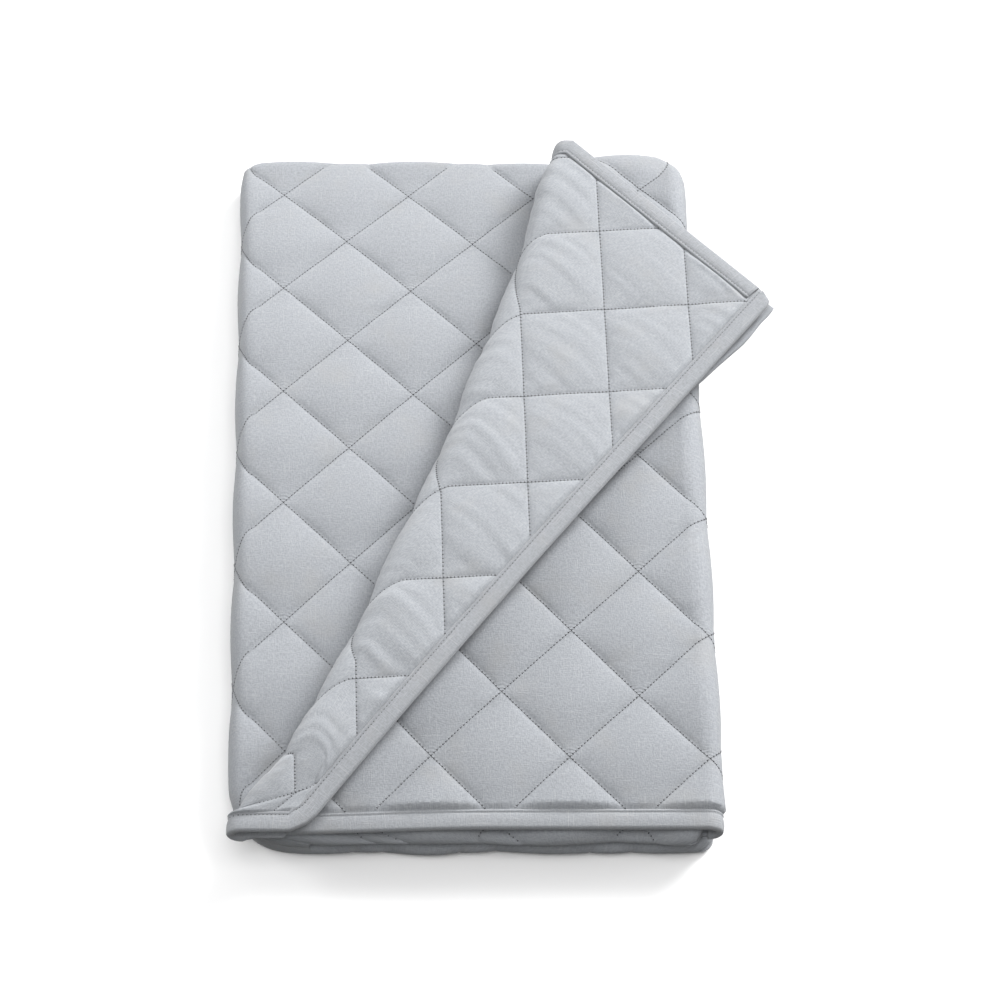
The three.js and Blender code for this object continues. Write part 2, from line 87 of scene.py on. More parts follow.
# rounding of the corners, seen from above
FRONT_LEFT_ROUND = 0.060
BACK_LEFT_ROUND = 0.010
BACK_RIGHT_ROUND = 0.040
FRONT_RIGHT_ROUND = 0.018
RIGHT_END = (X_RIGHT - 0.09, X_RIGHT - 0.03)
# the power that keeps the back straight where the rows turn
BACK_STRAIGHT = 4

# the left fold of the two lower layers, and the lips at their right ends
FOLD_X = X_LEFT + 0.024
FOLD_INNER_X = X_LEFT + 0.060
FOLD_INNER_BULGE = 0.002
FOLD_FLAT = 0.095
# how square the fold is, and how the seams' dips get less round it
FOLD_SQUARE = 0.62
FOLD_DIP = 0.35
FOLD_DIP_FADE = 1.5
FOLD_DIP_END = 0.8
LIP = 0.010
LIP_FLAT = 0.022
LIP_FADE = 0.03
SLIT_DEEP = 0.026
SLIT_HALF = 0.0007
MIDDLE_LIP_X = X_RIGHT - 0.034
LOW_LIP_X = X_RIGHT - 0.022

# the top layer: its height, front edge, the rows that straighten there, and its right-hand fold
TOP_MID = 0.0065
TOP_FRONT = -0.421
FRONT_ROWS = 0.16
WRAP_START = 0.130
WRAP_BEND = 0.233
WRAP_FLAT = 0.048
WRAP_TAIL = 0.028
WRAP_IN = 0.0075
WRAP_ROUNDED = 0.6
# the fold and its tail get smaller where the cloth drops at the back
WRAP_LEAST = 0.2
WRAP_FADE = 0.026
TAIL_LEAST = 0.06
TAIL_FADE = 0.015
# the filling is more even round the fold, and flat in its tail
WRAP_PUFF = 0.72
WRAP_EVEN = 0.65
WRAP_EVEN_FROM = (WRAP_BEND - 0.005, WRAP_BEND + 0.02)
TAIL_FLAT = 0.8
TAIL_FLAT_FROM = (WRAP_BEND + WRAP_FLAT - 0.01, WRAP_BEND + WRAP_FLAT + 0.005)
# the part that hangs down
DRAPE_START = 0.396
DRAPE_OUT = 0.034
DRAPE_DOWN = 0.017
DRAPE_FLAT = 0.042
DRAPE_HANG = 0.018
TOP_BACK = DRAPE_START + DRAPE_FLAT + DRAPE_HANG
# how far its net is drawn forward at the back, and the rows over which that grows
BACK_DRAWN = 0.055
BACK_DRAWN_ROWS = (0.05, 0.32)
# how far the front edge lies further out, and where along x each step out ends
FRONT_STEPS = ((0.0075, -0.235, -0.185), (0.005, -0.19, 0.02))

# the turned-back corner, seen from above
CREASE = (
    (-0.240, -0.4335), (-0.187, -0.337), (-0.109, -0.179), (-0.012, 0.065), (0.056, 0.276), (0.103, 0.436))
CORNER = (0.3295, 0.184)
LONG_END = (-0.164, -0.4335)
SHORT_END = (0.113, 0.413)
TIP_ROUND = 0.010
TURN_ROUND = 0.012
FLAP_BACK = SHORT_END[1] - 0.004
FLAP_FRONT = LONG_END[1]
# how far its tip and its back lift, and over what distance
CORNER_LIFT = 0.004
CORNER_LIFT_REACH = 0.15
BACK_LIFT = 0.016
BACK_LIFT_START = 0.06
BACK_LIFT_REACH = 0.38
# at the front its columns are drawn to the right and its rows down to the left
FRONT_DRAWN = 0.029
FRONT_DRAWN_ROWS = (0.28, 0.335)
FRONT_DRAWN_COLUMNS = (-0.19, -0.115)
FRONT_DRAWN_EDGE = 0.013
FRONT_DRAWN_FADE = 0.03
FRONT_ROW_TURN = 0.3
FRONT_ROW_START = 0.064
# its rows droop towards the roll: how far, where round the roll, and how far from the ends
ROW_DROOP = 0.034
ROW_DROOP_ROUND = (-0.008, 0.042)
ROW_DROOP_ENDS = (0.02, 0.12)
# its wrinkles: their share of the puff, how far they bend, and the length and width of each kind
CORNER_WRINKLE = 0.26
WRINKLE_BEND = 2.5
BROAD_WRINKLE = (0.1, 0.013)
FINE_WRINKLE = (0.06, 0.0065)
FINE_SHARE = 0.35
# the roll at the crease: half its height, half its width along most of it and at its back end,
# the distance over which it narrows there, the tail of cloth under it, and how far in it lies
ROLL = 0.0125
ROLL_WIDE = 0.028
ROLL_NARROW = 0.009
ROLL_BACK_REACH = 0.22
ROLL_TAIL = 0.012
ROLL_IN = 0.004
# how far to the right of its middle the top layer is cut off
UNDER_ROLL = 0.009
# at the front end it is lower and narrower, up to a distance, and goes a little further out
ROLL_FLATTENED = 0.88
ROLL_FRONT = 0.42
ROLL_FRONT_REACH = 0.13
FRONT_BULGE = 0.014
FRONT_BULGE_ROWS = (0.27, 0.345)
FRONT_BULGE_FADE = 0.035
# its net: one crossing, the size of a cell, and how far columns and rows turn
FLAP_NET = (0.149, 0.1725)
FLAP_CELL = (0.0917, 0.1082)
FLAP_LEAN = -0.032
FLAP_TILT = 0.06

# the cloth under the turned-back corner
PLY_MID = 0.022
PLY_THICK = 0.006
PLY_IN = 0.009
PLY_ROWS = (0.0, 0.262)
# how far it shows past the corner, and the rows between which it does so
PLY_OUT = 0.009
PLY_FULL = 0.15
PLY_END = 0.3
PLY_END_FADE = (0.08, 0.13)
PLY_EDGE_ROUND = 0.004
PLY_EDGE_WAVE = 0.0025
PLY_EDGE_FROM = 0.8
PLY_WAVE = 0.0012

# binding strip and sewing
BIND_WIDE = 0.017
BIND_WALL = 0.0024
CLEAR = 0.0007
# the strip's section: its height at the fold and its swell as shares, and the length that swells
BIND_EDGE = 0.9
BIND_SWELL = 0.14
BIND_FLAT = 0.011
# ripples of the strip: height, length and width, and the parts of its section that have them
BIND_RIPPLE = 0.00035
RIPPLE_SIZE = (0.013, 0.012)
RIPPLE_FACE = 0.003
RIPPLE_EDGE = 0.012
RIPPLE_EDGE_SHARE = 0.6
# where the filling sets in behind the strip
FILLED_FROM = (BIND_WIDE - 0.001, BIND_WIDE + 0.005)
# how many steps the strips have along the edges and round a roll or fold
LONG_COUNT = 160
FRONT_COUNT = 110
FRONT_BLEND = 28
SHORT_COUNT = 70
BACK_COUNT = 24
FOLD_COUNT = 16
# how far along a roll or fold the way out at its end is measured
FOLD_STEP = 0.015
# how far from the ends of an edge its strip starts and stops, and how much it widens at a turn
LONG_STOP = 0.02
SHORT_START = 0.0015
SHORT_STOP = 0.012
BACK_START = 0.027
BACK_STOP = 0.024
TURN_WIDEN = 0.06
# one stitch and the near-black mark of painted shade in one needle hole, the way from one stitch to the next,
# and the height above the cloth
STITCH = (0.0016, 0.0007, 0.0006)
HOLE = (0.0008, 0.0011, 0.0006)
STITCH_PITCH = 0.0042
STITCH_UP = 0.0002
SEW_STEPS = (-0.01, 0, 0.01)
# the line of stitches along a strip: from its inner edge, and its height as a share
BIND_SEAM = 0.0032
BIND_SEAM_HEIGHT = 0.73
# how near the sewing comes to the ends of the layers, the folds, the crease and the roll
SEAM_START = 0.0006
SEAM_END = 0.01
FOLD_SEAM = 0.088
CREASE_SEAM = 0.012
TOP_SEAM = 0.03
WRAP_SEAM = 0.008
ROLL_SEAM = 0.6

# extra cuts that the cloths need: at their ends, beside the strip, round the tip and at the turn
END_CUTS = (0.03, 0.12, 0.3, 0.55, 1)
EDGE_CUTS = (0.018, 0.022, 0.026)
TIP_CUTS = (0.15, 0.33, 0.5, 0.67, 0.85)
TURN_CUTS = (0.2, 0.4, 0.6, 0.8)
PLY_CUTS = (0.97, 0.985, 0.993, 0.998)


def lerp(a, b, t):
    return a + (b - a) * t


def smooth(x, low, high):
    t = min(1.0, max(0.0, (x - low) / (high - low)))
    return t * t * (3 - 2 * t)


def puff_of(p, q):
    """0 on a seam of a net with lines at whole numbers, 1 in the middle of a square."""
    return abs(math.sin(math.pi * p) * math.sin(math.pi * q)) ** PUFF_POWER


def diamond_at(x, y, net):
    """Numbers of a point in a net of diamonds, whole on its seams."""
    a = (x + net[2] * y - net[0]) / HALF_DIAMOND
    b = (y - net[1]) / HALF_DIAMOND
    return (a + b) / 2, (a - b) / 2


def diamond_point(p, q, net):
    """The flat point with these numbers in a net of diamonds."""
    y = net[1] + (p - q) * HALF_DIAMOND
    return net[0] + (p + q) * HALF_DIAMOND - net[2] * y, y


def middle_net_point(p, q):
    return diamond_point(p, q, NET_MIDDLE)


def top_net_point(p, q):
    return diamond_point(p, q, NET_TOP)


def rise(y):
    """The height of the stack at y, as a multiple of its height at the ends."""
    return 1 + RISE * max(0.0, 1 - ((y - Y_CROWN) / CROWN_REACH) ** 2)


def top_of_middle(y):
    return Z_MID_TOP * rise(y)


def round_in(distance, radius):
    """How far a side draws in at a distance from the end where its corner is rounded."""
    t = min(1.0, max(0.0, 1 - distance / radius))
    return radius * (1 - math.sqrt(1 - t * t))


# Wrinkles

def streak(x, y, turn, fine, long, seed):
    """Soft uneven streaks that run in one direction, from -1 to 1."""
    c, s = math.cos(turn), math.sin(turn)
    return noise.noise(Vector(((c * x + s * y) / long, (c * y - s * x) / fine, seed)))


def pucker(x, y, p, q, seed):
    """Small wrinkles beside the seams, drawn in by the stitches."""
    near = max(abs(math.cos(math.pi * p)), abs(math.cos(math.pi * q))) ** 6
    across = streak(x, y, 0.25, 0.011, 0.05, seed) + 0.6 * streak(x, y, 1.3, 0.009, 0.04, seed + 3)
    return near * across


# Flat nets, cut to the shape of a cloth

def crowded(g):
    """Moves a number in a net closer to the seams, at whole numbers."""
    whole = math.floor(g + 1e-6)
    part = g - whole
    return whole + part - CROWD * math.sin(2 * math.pi * part) / (2 * math.pi)


def flat_net(low, high, to_flat, steps=STEPS):
    """A flat net between two whole-number corners, with its lines on the seams."""
    bm = bmesh.new()
    across = high[0] - low[0]
    along = high[1] - low[1]
    bmesh.ops.create_grid(bm, x_segments=across * steps, y_segments=along * steps, size=0.5)
    for v in bm.verts:
        p = low[0] + crowded((v.co.x + 0.5) * across)
        q = low[1] + crowded((v.co.y + 0.5) * along)
        v.co = (*to_flat(p, q), 0)
    return bm


def cut(bm, point, way, clear=True, faces=None):
    """Cuts the net along a straight line through a point, and clears what lies the way it points."""
    part = bm.faces[:] if faces is None else faces
    geom = {*part, *(e for f in part for e in f.edges), *(v for f in part for v in f.verts)}
    bmesh.ops.bisect_plane(
        bm, geom=list(geom), dist=1e-6, plane_co=(*point, 0), plane_no=(*way, 0), clear_outer=clear)


def cut_left_of(bm, line):
    """Clears what lies left of a line of points that runs from the front to the back."""
    for x, y in line[1:-1]:
        cut(bm, (x, y), (0, 1), clear=False)
    for (x0, y0), (x1, y1) in zip(line, line[1:]):
        low = -1.0 if y0 == line[0][1] else y0
        high = 1.0 if y1 == line[-1][1] else y1
        band = [f for f in bm.faces if low <= f.calc_center_median().y <= high]
        cut(bm, (x0, y0), (y0 - y1, x1 - x0), faces=band)


# The places of the layers

def rounded(outer, inner, y):
    """Draws two points together where the folded layers round off at the front and back."""
    near = min(1.0, max(0.0, min(y - Y_FRONT, Y_BACK - y) / END_ROUND))
    squeeze = math.sqrt(1 - (1 - near) ** 2)
    mid = (outer + inner) / 2
    return mid.lerp(outer, squeeze), mid.lerp(inner, squeeze)


def lip(past, half):
    """Past the straight part of a layer: how far out its lip goes, and its height from the middle."""
    if past <= 0:
        return past, half
    if past < LIP_FLAT:
        a = math.pi * past / LIP_FLAT
        return LIP * math.sin(a), (half + SLIT_HALF) / 2 + (half - SLIT_HALF) / 2 * math.cos(a)
    return LIP_FLAT - past, SLIT_HALF


def lower_place(flat_x, y, upper):
    """Places a point of the two lower layers: middle layer, left fold, lowest layer."""
    h = rise(y)
    p, q = diamond_at(flat_x, y, NET_MIDDLE)
    puff = puff_of(p, q)
    dip = LOWER_DIP * (1 - puff) - LOWER_WRINKLE * pucker(flat_x, y, p, q, 5.0)
    dip -= LOWER_WRINKLE * streak(flat_x, y, 0.6, 0.03, 0.08, 2.0)
    mid = (Z_MID_BOTTOM + Z_MID_TOP) / 2 * h
    low = Z_LOW_TOP / 2 * h
    if flat_x > FOLD_X:
        past, half = lip(flat_x - MIDDLE_LIP_X, (Z_MID_TOP - Z_MID_BOTTOM) / 2 * h)
        x = MIDDLE_LIP_X + past
        share = (MIDDLE_LIP_X - FOLD_INNER_X) / (MIDDLE_LIP_X - FOLD_X)
        inner_x = MIDDLE_LIP_X + past * share if past < 0 else x
        fade = 1 - smooth(flat_x, MIDDLE_LIP_X - LIP_FADE, MIDDLE_LIP_X)
        outer = Vector((x, y, mid + half - dip * fade))
        inner = Vector((inner_x, y, mid - half))
    elif flat_x > FOLD_X - FOLD_FLAT:
        a = math.pi * (FOLD_X - flat_x) / FOLD_FLAT
        radius = Z_MID_TOP / 2 * h
        wide = min(FOLD_X - X_LEFT, radius)
        turned = a / math.pi
        inset = dip * max((1 - turned) ** FOLD_DIP_FADE, FOLD_DIP * (1 - smooth(turned, FOLD_DIP_END, 1)))
        bulge = wide * math.sin(a) ** FOLD_SQUARE - inset * math.sin(a)
        outer = Vector((FOLD_X - bulge, y, radius + (radius - inset) * math.cos(a)))
        gap = (Z_MID_BOTTOM - Z_LOW_TOP) / 2 * h
        inner_x = FOLD_INNER_X - FOLD_INNER_BULGE * math.sin(a)
        inner = Vector((inner_x, y, Z_LOW_TOP * h + gap * (1 + math.cos(a))))
    else:
        past, half = lip(FOLD_X - FOLD_FLAT - flat_x - (LOW_LIP_X - FOLD_X), low)
        x = LOW_LIP_X + past
        share = (LOW_LIP_X - FOLD_INNER_X) / (LOW_LIP_X - FOLD_X)
        inner_x = LOW_LIP_X + past * share if past < 0 else x
        outer = Vector((x, y, low - half))
        inner = Vector((inner_x, y, low + half))
    outer, inner = rounded(outer, inner, y)
    at = outer if upper else inner
    front = 1 - smooth(y - Y_FRONT, 0, 2 * END_ROUND)
    wave = FRONT_WAVE * streak(flat_x, 0, 0, 1, FRONT_WAVE_LONG, 9.0)
    at.y += front * (FRONT_PUFF * (FRONT_LEVEL - puff) + wave)
    if at.x < 0:
        left_in = round_in(Y_BACK - y, BACK_LEFT_ROUND) + round_in(y - Y_FRONT, FRONT_LEFT_ROUND)
        at.x *= 1 + left_in / X_LEFT
    at.x -= round_in(y - Y_FRONT, FRONT_RIGHT_ROUND) * smooth(at.x, *RIGHT_END)
    tilt = ROW_TILT * (1 - min(1.0, (y / Y_BACK) ** BACK_STRAIGHT))
    if at.x > 0 and y > 0:
        tilt = ROW_TILT
    return Vector((at.x - SKEW * at.y, at.y - tilt * at.x, at.z))


def thickness(puff, from_edge):
    """Thickness of the filled cloth, which is flat where the binding holds it."""
    return lerp(EDGE_THICK, SEAM_THICK + PUFF * puff, smooth(from_edge, *FILLED_FROM))


def cloth_point(mid, normal, puff, from_edge, share, upper):
    """A point on the upper or lower face of a filled cloth, from a point of its middle."""
    more = thickness(puff, from_edge) - EDGE_THICK
    if upper:
        return mid + normal * (EDGE_THICK / 2 + more * share)
    return mid - normal * (EDGE_THICK / 2 + more * (1 - share))


def wrap(y, drop):
    """Radius and start of the right-hand fold that carries the top layer under the middle one."""
    full = (top_of_middle(y) + TOP_MID - (Z_MID_BOTTOM + TOP_MID) * rise(y)) / 2
    bend = X_RIGHT - full - WRAP_IN - WRAP_ROUNDED * round_in(DRAPE_START + DRAPE_OUT - y, BACK_RIGHT_ROUND)
    return full * max(WRAP_LEAST, 1 - drop / WRAP_FADE), bend


def drape(flat_y):
    """Where the top layer is along y, how far it has dropped and turned, as it goes over the back."""
    past = flat_y - DRAPE_START
    if past <= 0:
        return flat_y, 0.0, 0.0
    a = math.pi / 2 * min(1.0, past / DRAPE_FLAT)
    drop = DRAPE_DOWN * (1 - math.cos(a)) + max(0.0, past - DRAPE_FLAT)
    return DRAPE_START + DRAPE_OUT * math.sin(a), drop, a


def wrap_point(flat_x, y, drop):
    """A point of the top layer's middle in its own cross section, with its normal."""
    radius, bend = wrap(y, drop)
    z = top_of_middle(y) + TOP_MID - drop
    if flat_x < WRAP_BEND:
        x = flat_x
        if flat_x > WRAP_START:
            x = lerp(WRAP_START, bend, (flat_x - WRAP_START) / (WRAP_BEND - WRAP_START))
        return Vector((x, y, z)), Vector((0, 0, 1))
    a = min(math.pi, math.pi * (flat_x - WRAP_BEND) / WRAP_FLAT)
    tail = max(0.0, flat_x - WRAP_BEND - WRAP_FLAT) * max(TAIL_LEAST, 1 - drop / TAIL_FADE)
    at = Vector((bend + radius * math.sin(a) - tail, y, z - radius * (1 - math.cos(a))))
    return at, Vector((math.sin(a), 0, math.cos(a)))


def front_step(x):
    """How much further out the front edge lies towards the left."""
    return sum(out * (1 - smooth(x, left, right)) for out, left, right in FRONT_STEPS)


def laid_back(flat_y):
    """Where a row of the top layer lies; its net is drawn forward towards the back."""
    return flat_y - BACK_DRAWN * smooth(flat_y, *BACK_DRAWN_ROWS)


def flat_back(y):
    """The row of the top layer's net that lies at y."""
    flat_y = y
    for _ in range(20):
        flat_y = y + BACK_DRAWN * smooth(flat_y, *BACK_DRAWN_ROWS)
    return flat_y


def top_place(flat_x, flat_y, upper):
    """Places a point of the top layer."""
    laid = laid_back(flat_y)
    y, drop, turned = drape(laid)
    at, normal = wrap_point(flat_x, y, drop)
    normal = Vector((normal.x * math.cos(turned), math.sin(turned), normal.z * math.cos(turned)))
    edge = min(laid - TOP_FRONT, TOP_BACK - laid)
    p, q = diamond_at(flat_x, flat_y, NET_TOP)
    puff = puff_of(p, q)
    streaks = TOP_STREAK * streak(flat_x, flat_y, 0.5, 0.03, 0.08, 7.0)
    puff += PUCKERED * pucker(flat_x, flat_y, p, q, 11.0) + streaks
    puff = lerp(puff, WRAP_PUFF, WRAP_EVEN * smooth(flat_x, *WRAP_EVEN_FROM))
    puff *= 1 - TAIL_FLAT * smooth(flat_x, *TAIL_FLAT_FROM)
    at = cloth_point(at, normal, puff, edge, TOP_SHARE, upper)
    from_front = smooth(laid - TOP_FRONT, 0, FRONT_ROWS)
    at.y -= ROW_TILT * flat_x * from_front
    at.y -= front_step(at.x) * (1 - from_front)
    return Vector((at.x - SKEW * y, at.y, at.z))


def crease_line():
    """The crease as a smooth line of points from the front to the back."""
    ends = [Vector(CREASE[0]) * 2 - Vector(CREASE[1]), *map(Vector, CREASE)]
    ends.append(Vector(CREASE[-1]) * 2 - Vector(CREASE[-2]))
    line = []
    for a, b, c, d in zip(ends, ends[1:], ends[2:], ends[3:]):
        for i in range(6):
            t = i / 6
            line.append(b + (c - a) * t / 2 + (2 * a - 5 * b + 4 * c - d) * t * t / 2
                        + (3 * b - a - 3 * c + d) * t ** 3 / 2)
    return line + [ends[-2]]


CREASE_LINE = crease_line()


def crease_x(y):
    """Where the crease is at y."""
    for a, b in zip(CREASE_LINE, CREASE_LINE[1:]):
        if y < b.y:
            break
    return a.x + (y - a.y) * (b.x - a.x) / (b.y - a.y)


def roll_wide(y):
    """Half the width of the roll at the crease."""
    wide = lerp(ROLL_NARROW, ROLL_WIDE, smooth(FLAP_BACK - y, 0, ROLL_BACK_REACH))
    return wide * lerp(ROLL_FRONT, 1, smooth(y - FLAP_FRONT, 0, ROLL_FRONT_REACH))


def roll_flat(y):
    """Length of the cloth round the roll."""
    return math.pi * math.hypot(roll_wide(y), ROLL) / math.sqrt(2)


def roll_x(y):
    """The middle of the roll at the crease, which goes a little further out near the front end."""
    bulge = FRONT_BULGE * smooth(-y, *FRONT_BULGE_ROWS) * smooth(y - FLAP_FRONT, 0, FRONT_BULGE_FADE)
    return crease_x(y) + roll_wide(y) + ROLL_IN - bulge


LONG_WAY = (Vector(LONG_END) - Vector(CORNER)).normalized()
SHORT_WAY = (Vector(SHORT_END) - Vector(CORNER)).normalized()
LONG_OUT = Vector((-LONG_WAY.y, LONG_WAY.x))
SHORT_OUT = Vector((SHORT_WAY.y, -SHORT_WAY.x))


def flap_mid(x, y):
    """Middle height of the turned-back cloth."""
    far = math.hypot(x - CORNER[0], y - CORNER[1])
    back = BACK_LIFT * max(0.0, (y - BACK_LIFT_START) / BACK_LIFT_REACH) ** 2
    roll = 2 * ROLL * lerp(ROLL_FLATTENED, 1, smooth(y - FLAP_FRONT, 0, ROLL_FRONT_REACH))
    tip = CORNER_LIFT * math.exp(-((far / CORNER_LIFT_REACH) ** 2))
    return top_of_middle(y) + TOP_MID + roll + back + tip


def roll_point(y, a):
    """A point round the roll at the crease, from its top at 0 to its bottom at pi, with its normal."""
    low = top_of_middle(y) + TOP_MID
    top = flap_mid(roll_x(y), y)
    wide, high = roll_wide(y), (top - low) / 2
    at = Vector((roll_x(y) - wide * math.sin(a), y, low + high * (1 + math.cos(a))))
    return at, Vector((-high * math.sin(a), 0, wide * math.cos(a))).normalized()


def flap_net_at(x, y):
    """Columns and rows of the turned-back corner's net at a point."""
    p = (x - FLAP_NET[0] - FLAP_LEAN * (y - FLAP_NET[1])) / FLAP_CELL[0]
    q = (y - FLAP_NET[1] - FLAP_TILT * (x - FLAP_NET[0])) / FLAP_CELL[1]
    return p, q


def flap_net_point(p, q):
    """The flat point with these numbers in the turned-back corner's net."""
    across = p * FLAP_CELL[0]
    along = q * FLAP_CELL[1]
    share = 1 - FLAP_LEAN * FLAP_TILT
    x = (across + FLAP_LEAN * along) / share
    y = (along + FLAP_TILT * across) / share
    return FLAP_NET[0] + x, FLAP_NET[1] + y


def corner_wrinkles(x, y, p, q):
    """Long soft wrinkles that bend across each square of the turned-back corner, along one of its grains."""
    middle = flap_net_point(math.floor(p) + 0.5, math.floor(q) + 0.5)
    along = (x - middle[0] - y + middle[1]) / math.sqrt(2)
    across = (x - middle[0] + y - middle[1]) / math.sqrt(2) + WRINKLE_BEND * along * along
    seed = 17 + 3.7 * math.floor(p) + 7.3 * math.floor(q)
    broad = noise.noise(Vector((along / BROAD_WRINKLE[0], across / BROAD_WRINKLE[1], seed)))
    broad *= 0.75 + 0.5 * math.sin(seed)
    fine = noise.noise(Vector((along / FINE_WRINKLE[0], across / FINE_WRINKLE[1], seed + 40)))
    inside = min(1.0, 2.5 * abs(math.sin(math.pi * p) * math.sin(math.pi * q)))
    return inside * (broad + FINE_SHARE * fine)


def flap_place(x, y, upper):
    """Places a point of the turned-back corner, which rolls under at the crease."""
    ends = min(y - FLAP_FRONT, FLAP_BACK - y)
    p, q = flap_net_at(x, y)
    puff = puff_of(p, q)
    puff += PUCKERED * pucker(x, y, p, q, 21.0) + CORNER_WRINKLE * corner_wrinkles(x, y, p, q)
    spot = Vector((x - CORNER[0], y - CORNER[1]))
    edge = min(-spot.dot(LONG_OUT), -spot.dot(SHORT_OUT), ends)
    drawn = smooth(-y, *FRONT_DRAWN_ROWS) * min(1.0, max(0.0, (edge - FRONT_DRAWN_EDGE) / FRONT_DRAWN_FADE))
    x += FRONT_DRAWN * drawn * (1 - smooth(x, *FRONT_DRAWN_COLUMNS))
    past = roll_x(y) - x
    droop = FRONT_ROW_TURN * (past + FRONT_ROW_START) * drawn
    droop += ROW_DROOP * smooth(past, *ROW_DROOP_ROUND) * smooth(ends, *ROW_DROOP_ENDS)
    shift = Vector((0, -droop, 0))
    if past <= 0:
        at = Vector((x, y, flap_mid(x, y)))
        return shift + cloth_point(at, Vector((0, 0, 1)), puff, edge, CORNER_SHARE, upper)
    length = roll_flat(y)
    a = min(math.pi, math.pi * past / length)
    at, normal = roll_point(y, a)
    at.x += max(0.0, past - length)
    round_roll = a / math.pi
    share = lerp(CORNER_SHARE, ROLLED_SHARE, round_roll)
    return shift * (1 - round_roll ** 2) + cloth_point(at, normal, puff, ends, share, upper)


def flap_right(y):
    """The edge of the turned-back corner on the right of a row."""
    way = LONG_WAY if y < CORNER[1] else SHORT_WAY
    return CORNER[0] + (y - CORNER[1]) * way.x / way.y


def ply_place(u, v, upper):
    """Places a point of the cloth under the turned-back corner; u goes out to the right and v to the back."""
    y = lerp(*PLY_ROWS, v)
    out = PLY_OUT * smooth(y, PLY_ROWS[0], PLY_FULL) * smooth(PLY_END - y, *PLY_END_FADE)
    edge_wave = PLY_EDGE_WAVE * streak(y, 0, 0, 1, 0.03, 4.0) * smooth(u, PLY_EDGE_FROM, 1)
    right = flap_right(y) - PLY_IN + 2 * out + edge_wave
    x = lerp(roll_x(y) - 0.5 * roll_wide(y), right, u)
    edge = min(right - x, y - PLY_ROWS[0], PLY_ROWS[1] - y)
    half = PLY_THICK / 2 * math.sqrt(1 - (1 - min(1.0, max(0.0, edge / PLY_EDGE_ROUND))) ** 2)
    wave = PLY_WAVE * streak(x, y, -0.75, 0.02, 0.06, 6.0) * smooth(edge, 0, 0.01)
    return Vector((x, y, top_of_middle(y) + PLY_MID + wave + (half if upper else -half)))


# Looks

def socket(tree, name, kind, way):
    return tree.interface.new_socket(name=name, in_out=way, socket_type=kind)


def add_noise(nodes, links, vector, scale, detail, rough=0.5):
    mapping = nodes.new("ShaderNodeMapping")
    mapping.inputs["Scale"].default_value = scale
    texture = nodes.new("ShaderNodeTexNoise")
    texture.inputs["Scale"].default_value = 1.0
    texture.inputs["Detail"].default_value = detail
    texture.inputs["Roughness"].default_value = rough
    links.new(vector, mapping.inputs["Vector"])
    links.new(mapping.outputs["Vector"], texture.inputs["Vector"])
    return texture.outputs["Fac"]


def add_math(nodes, links, operation, a, b):
    node = nodes.new("ShaderNodeMath")
    node.operation = operation
    for value, place in ((a, node.inputs[0]), (b, node.inputs[1])):
        if isinstance(value, (int, float)):
            place.default_value = value
        else:
            links.new(value, place)
    return node.outputs[0]


def add_both_ways(nodes, links, operation, cloth, fine, long, detail):
    """Streaks of thread along both ways of the cloth, joined by an operation."""
    ways = [add_noise(nodes, links, cloth, scale, detail) for scale in ((fine, long, 1), (long, fine, 1))]
    return add_math(nodes, links, operation, *ways)


def add_range(nodes, links, value, low, high, top=1.0):
    """Spreads a value between two limits over 0 to the top."""
    node = nodes.new("ShaderNodeMapRange")
    node.interpolation_type = "SMOOTHSTEP"
    node.inputs["From Min"].default_value = low
    node.inputs["From Max"].default_value = high
    node.inputs["To Max"].default_value = top
    links.new(value, node.inputs["Value"])
    return node.outputs["Result"]


def linen_group():
    """A fine weave, its thicker threads and faint patches, read from cloth measured in metres."""
    tree = bpy.data.node_groups.new("linen_threads", "ShaderNodeTree")
    socket(tree, "Cloth", "NodeSocketVector", "INPUT")
    for name in ("Weave", "Slubs", "Patches"):
        socket(tree, name, "NodeSocketFloat", "OUTPUT")
    nodes, links = tree.nodes, tree.links
    cloth = nodes.new("NodeGroupInput").outputs["Cloth"]
    out = nodes.new("NodeGroupOutput")
    weave = add_both_ways(nodes, links, "ADD", cloth, fine=850, long=260, detail=2)
    weave = add_math(nodes, links, "MULTIPLY", weave, 0.5)
    links.new(add_range(nodes, links, weave, 0.34, 0.66), out.inputs["Weave"])
    slubs = add_both_ways(nodes, links, "MAXIMUM", cloth, fine=600, long=34, detail=1)
    links.new(add_range(nodes, links, slubs, 0.6, 0.74), out.inputs["Slubs"])
    links.new(add_noise(nodes, links, cloth, (16, 16, 1), 3, 0.6), out.inputs["Patches"])
    return tree


